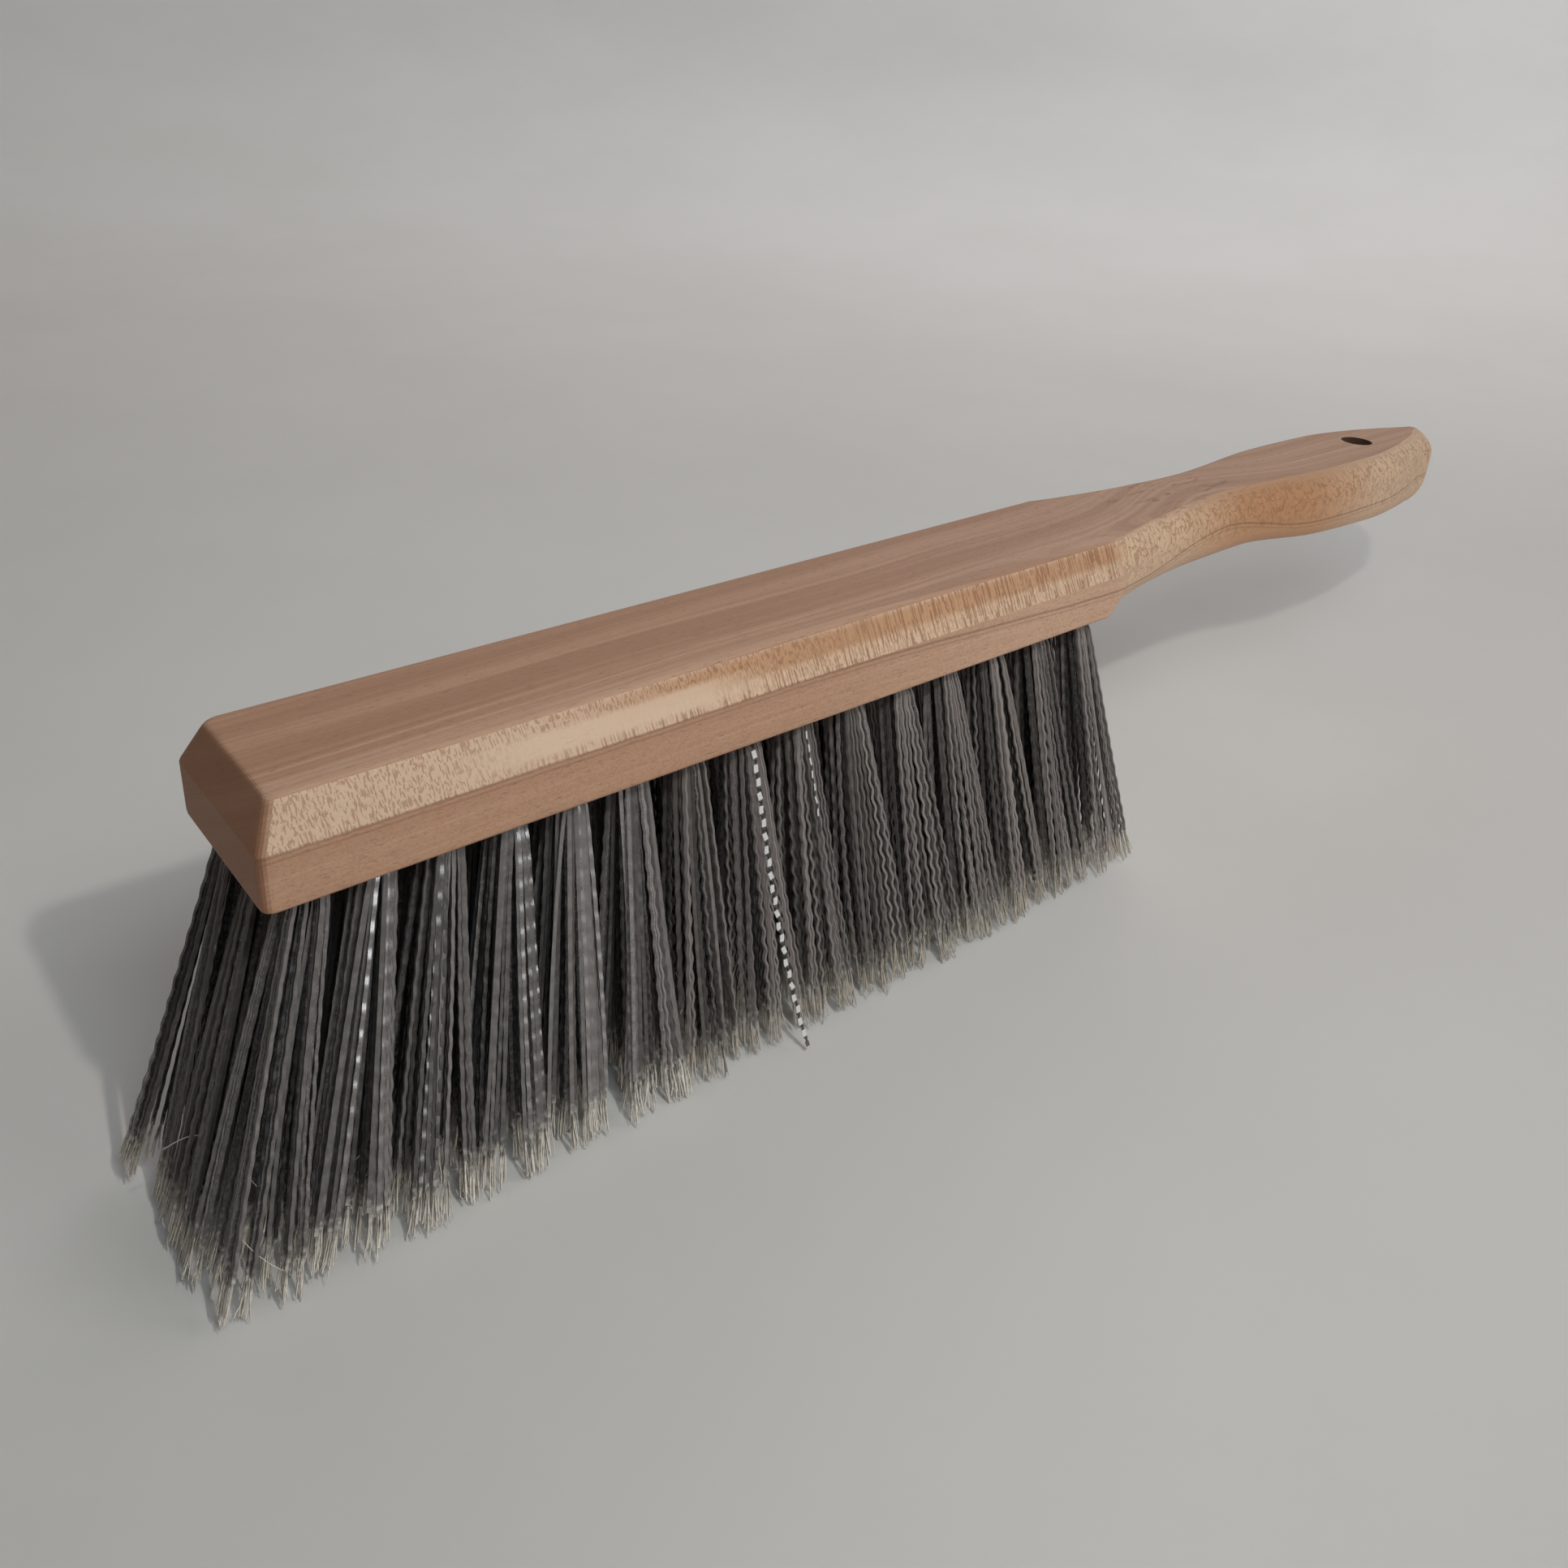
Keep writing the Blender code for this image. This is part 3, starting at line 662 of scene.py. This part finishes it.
def strays(paths, share, rng):
    """Parts of a few loose pale fibres that curl away near the tips."""
    k = STRAYS_PER_TUFT + int(share < MORE_STRAYS_BEFORE)
    s = np.linspace(0, 1, STRAY_STEPS)
    origin = paths[rng.integers(0, len(paths), k), -rng.integers(*STRAY_ORIGINS, k)]
    way = rng.uniform(0, 2 * math.pi, k)
    reach = rng.uniform(*STRAY_REACH, k) * MM
    fall = np.minimum(rng.uniform(*STRAY_FALL, k) * MM, origin[:, 2] - LOWEST_STRAY)
    curl = rng.normal(0, STRAY_CURL, k)
    stray = np.repeat(origin[:, None], STRAY_STEPS, 1)
    arch = np.sin(math.pi * s)
    stray[..., 0] += (reach * np.cos(way))[:, None] * s + (curl * np.sin(way))[:, None] * arch
    stray[..., 1] += (reach * np.sin(way))[:, None] * s - (curl * np.cos(way))[:, None] * arch
    stray[..., 2] -= fall[:, None] * s ** 0.8
    hair = np.full((k, STRAY_STEPS), STRAY_WIDTH)
    along = np.ones((k, STRAY_STEPS))
    return [(*tubes(stray, hair, hair, np.zeros(k), HAIR_SIDES), along, np.full(k, STRAY_TINT))]


def make_tuft(node, share, material, rng):
    """The filaments of one tuft, at this share of the way from the front tuft to the rear one."""
    root, tip, cell = tuft_ends(node)
    hole, square = fan()
    if share == 0:
        hole, square = hole[:, ::-1], square[:, ::-1]
    start, end = filament_ends(root, tip, cell, hole, square, rng)
    steps = int(UNDERSIDE_Z / CRIMP_LENGTH * POINTS_PER_CRIMP)
    t = np.linspace(-ROOT_DEPTH / UNDERSIDE_Z, FLAGS_FROM + FLAG_OVERLAP, steps)
    paths = splayed(root, tip, start, end, t)
    plane = crimp(paths, t, share, square, rng)

    n = len(paths)
    wide = np.full((n, steps), FILAMENT_WIDTH) * rng.uniform(*FILAMENT_VARIATION, n)[:, None]
    thick = np.full((n, steps), FILAMENT_THICKNESS) * rng.uniform(*FILAMENT_VARIATION, n)[:, None]
    tint = filament_tints(square, share, rng)
    parts = [(*tubes(paths, thick, wide, -plane, FLAT_SIDES), np.broadcast_to(t, (n, steps)), tint)]
    parts += flags(paths, tint, rng)
    if node in PAINTED_GLINT_TUFTS:
        parts += filament_with_painted_glints(paths[FILAMENTS_PER_LAYER // 2], t, *PAINTED_GLINT_TUFTS[node])
    parts += strays(paths, share, rng)
    piece = make_piece(node.replace("tuft", "bristles"), parts, material)
    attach(piece, "root")
    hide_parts(node)
    return piece


# ---------------------------------------------------------------- surroundings

# Floor: flat out to its reach, then swept up into a wall; metres
PAPER_TONES = (srgb(231, 230, 227), srgb(235, 234, 232))
FLOOR_REACH = 0.7
SWEEP_RADIUS = 1.6
SWEEP_STEPS = 24
WALL_TOP = 3.0
FLOOR_SIDES = 120


def make_floor():
    """Pale paper on the ground that curves up into a backdrop all round the brush."""
    g = Graph("paper")
    place = g.node("ShaderNodeTexCoord").outputs["Object"]
    cloud = g.noise(place, 6.0, 5.0, 0.6)
    g.put(g.shader.inputs["Base Color"], g.mix(g.ramp(cloud, 0.3, 0.7), *PAPER_TONES))
    g.shader.inputs["Roughness"].default_value = 0.85
    g.put(g.shader.inputs["Normal"], g.bump(g.noise(place, 14.0, 4.0, 0.6), 1.0 * MM, 0.12))
    profile = [(FLOOR_REACH / 2, 0.0), (FLOOR_REACH, 0.0)]
    for i in range(1, SWEEP_STEPS + 1):
        angle = math.pi / 2 * i / SWEEP_STEPS
        profile.append((FLOOR_REACH + SWEEP_RADIUS * math.sin(angle), SWEEP_RADIUS * (1 - math.cos(angle))))
    profile.append((FLOOR_REACH + SWEEP_RADIUS, WALL_TOP))
    turns = [2 * math.pi * i / FLOOR_SIDES for i in range(FLOOR_SIDES)]
    verts = [(reach * math.cos(turn), reach * math.sin(turn), height)
             for reach, height in profile for turn in turns]
    faces = [tuple(range(FLOOR_SIDES))]
    for ring in range(len(profile) - 1):
        for side in range(FLOOR_SIDES):
            near, far = ring * FLOOR_SIDES + side, ring * FLOOR_SIDES + (side + 1) % FLOOR_SIDES
            faces.append((near, near + FLOOR_SIDES, far + FLOOR_SIDES, far))
    mesh = bpy.data.meshes.new("floor")
    mesh.from_pydata(verts, [], faces)
    mesh.shade_smooth()
    mesh.materials.append(g.material)
    floor = bpy.data.objects.new("floor", mesh)
    bpy.context.scene.collection.objects.link(floor)


# Lights: soft windows on the right and behind, two for the backdrop, and a small sharp lamp by the camera
ROOM_COLOUR = (1.0, 0.90, 0.84, 1.0)
ROOM_STRENGTH = 0.03
MIDDLE = (0.0, 0.0, 0.03)
# (name, place, aim, width and height, power, colour)
WINDOWS = (
    ("window_front", (0.75, -1.05, 1.0), MIDDLE, (0.8, 0.8), 4.4, (1.0, 0.98, 0.97)),
    ("window_right", (1.1, -0.1, 0.8), MIDDLE, (0.8, 0.8), 1.1, (1.0, 0.88, 0.82)),
    ("window_far", (0.75, 0.55, 0.7), MIDDLE, (0.6, 0.6), 1.2, (1.0, 0.97, 1.0)),
    ("window_back", (0.2, 0.85, 0.7), MIDDLE, (0.6, 0.6), 0.5, (1.0, 0.92, 0.88)),
)
BACKDROP_COLOUR = (0.96, 0.97, 1.0)
BACKDROP_SPREAD = math.radians(110)
BACKDROPS = (
    ("backdrop_left", (0.2, 0.9, 1.5), (0.6, 1.6, 0.2), (0.8, 0.8), 0.9, BACKDROP_COLOUR),
    ("backdrop_right", (1.3, 0.2, 1.5), (1.7, 0.7, 0.2), (0.8, 0.8), 3.1, BACKDROP_COLOUR),
)
LAMP_STRENGTH = 4.0
LAMPS = (
    ("lamp", (-0.133, -0.174, 0.245), MIDDLE, (0.008, 0.008), 0.50, (0.98, 0.92, 0.82)),
    ("lamp_shade", (-0.16, -0.22, 0.306), MIDDLE, (0.12, 0.12), 0.48, (0.80, 0.92, 1.0)),
)
GLINT = ("glint", (-0.13, -0.50, 0.09), (-0.14, -0.02, 0.04), (0.11, 0.06), 0.55, (0.94, 0.97, 1.0))
GLINT_COLUMNS = 6

# Camera: metres, degrees and millimetres, on a sensor 36 mm wide
CAMERA_PLACE = (-0.2151, -0.1781, 0.1813)
CAMERA_TURN = (60.27, -2.78, -40.64)
CAMERA_LENS = 32.05
SENSOR_WIDTH = 36.0
NEAR_CLIP = 0.01


def area_light(name, place, aim, size, power, colour):
    data = bpy.data.lights.new(name, "AREA")
    data.shape = "RECTANGLE"
    data.size, data.size_y = size
    data.energy = power
    data.color = colour
    lamp = bpy.data.objects.new(name, data)
    lamp.location = place
    lamp.rotation_euler = (Vector(aim) - Vector(place)).to_track_quat("-Z", "Y").to_euler()
    bpy.context.scene.collection.objects.link(lamp)
    return lamp


def keep_strength(lamp, factor):
    """Make a light equally strong at every distance, like one much farther away."""
    data = lamp.data
    data.use_nodes = True
    falloff = data.node_tree.nodes.new("ShaderNodeLightFalloff")
    falloff.inputs["Strength"].default_value = factor
    data.node_tree.links.new(falloff.outputs["Constant"], data.node_tree.nodes["Emission"].inputs["Strength"])


def make_lights():
    world = bpy.data.worlds.new("room")
    world.use_nodes = True
    background = world.node_tree.nodes["Background"]
    background.inputs["Color"].default_value = ROOM_COLOUR
    background.inputs["Strength"].default_value = ROOM_STRENGTH
    bpy.context.scene.world = world
    bpy.context.scene.view_settings.view_transform = "Standard"
    for window in WINDOWS:
        area_light(*window)
    for backdrop in BACKDROPS:
        area_light(*backdrop).data.spread = BACKDROP_SPREAD
    for lamp in LAMPS:
        keep_strength(area_light(*lamp), LAMP_STRENGTH)


def make_glint(pieces):
    """A small low light that only the filaments at the front end catch."""
    lamp = area_light(*GLINT)
    caught = bpy.data.collections.new("glinting")
    for piece in pieces:
        caught.objects.link(piece)
    lamp.light_linking.receiver_collection = caught


def make_camera():
    data = bpy.data.cameras.new("camera")
    data.lens = CAMERA_LENS
    data.sensor_width = SENSOR_WIDTH
    data.clip_start = NEAR_CLIP
    camera = bpy.data.objects.new("camera", data)
    camera.location = CAMERA_PLACE
    camera.rotation_euler = [math.radians(a) for a in CAMERA_TURN]
    bpy.context.scene.collection.objects.link(camera)
    bpy.context.scene.camera = camera


def main():
    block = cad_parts[BLOCK]
    wood = wood_material()
    for slot in block.material_slots:
        slot.material = wood
    bristle = bristle_material()
    rng = np.random.default_rng(SEED)
    tufts = [make_tuft(f"tuft_{row}_{column:02d}", (column - 1) / (COLUMNS - 1), bristle, rng)
             for row in ROWS for column in range(1, COLUMNS + 1)]
    make_floor()
    make_lights()
    make_glint(tufts[:GLINT_COLUMNS])
    make_camera()


main()
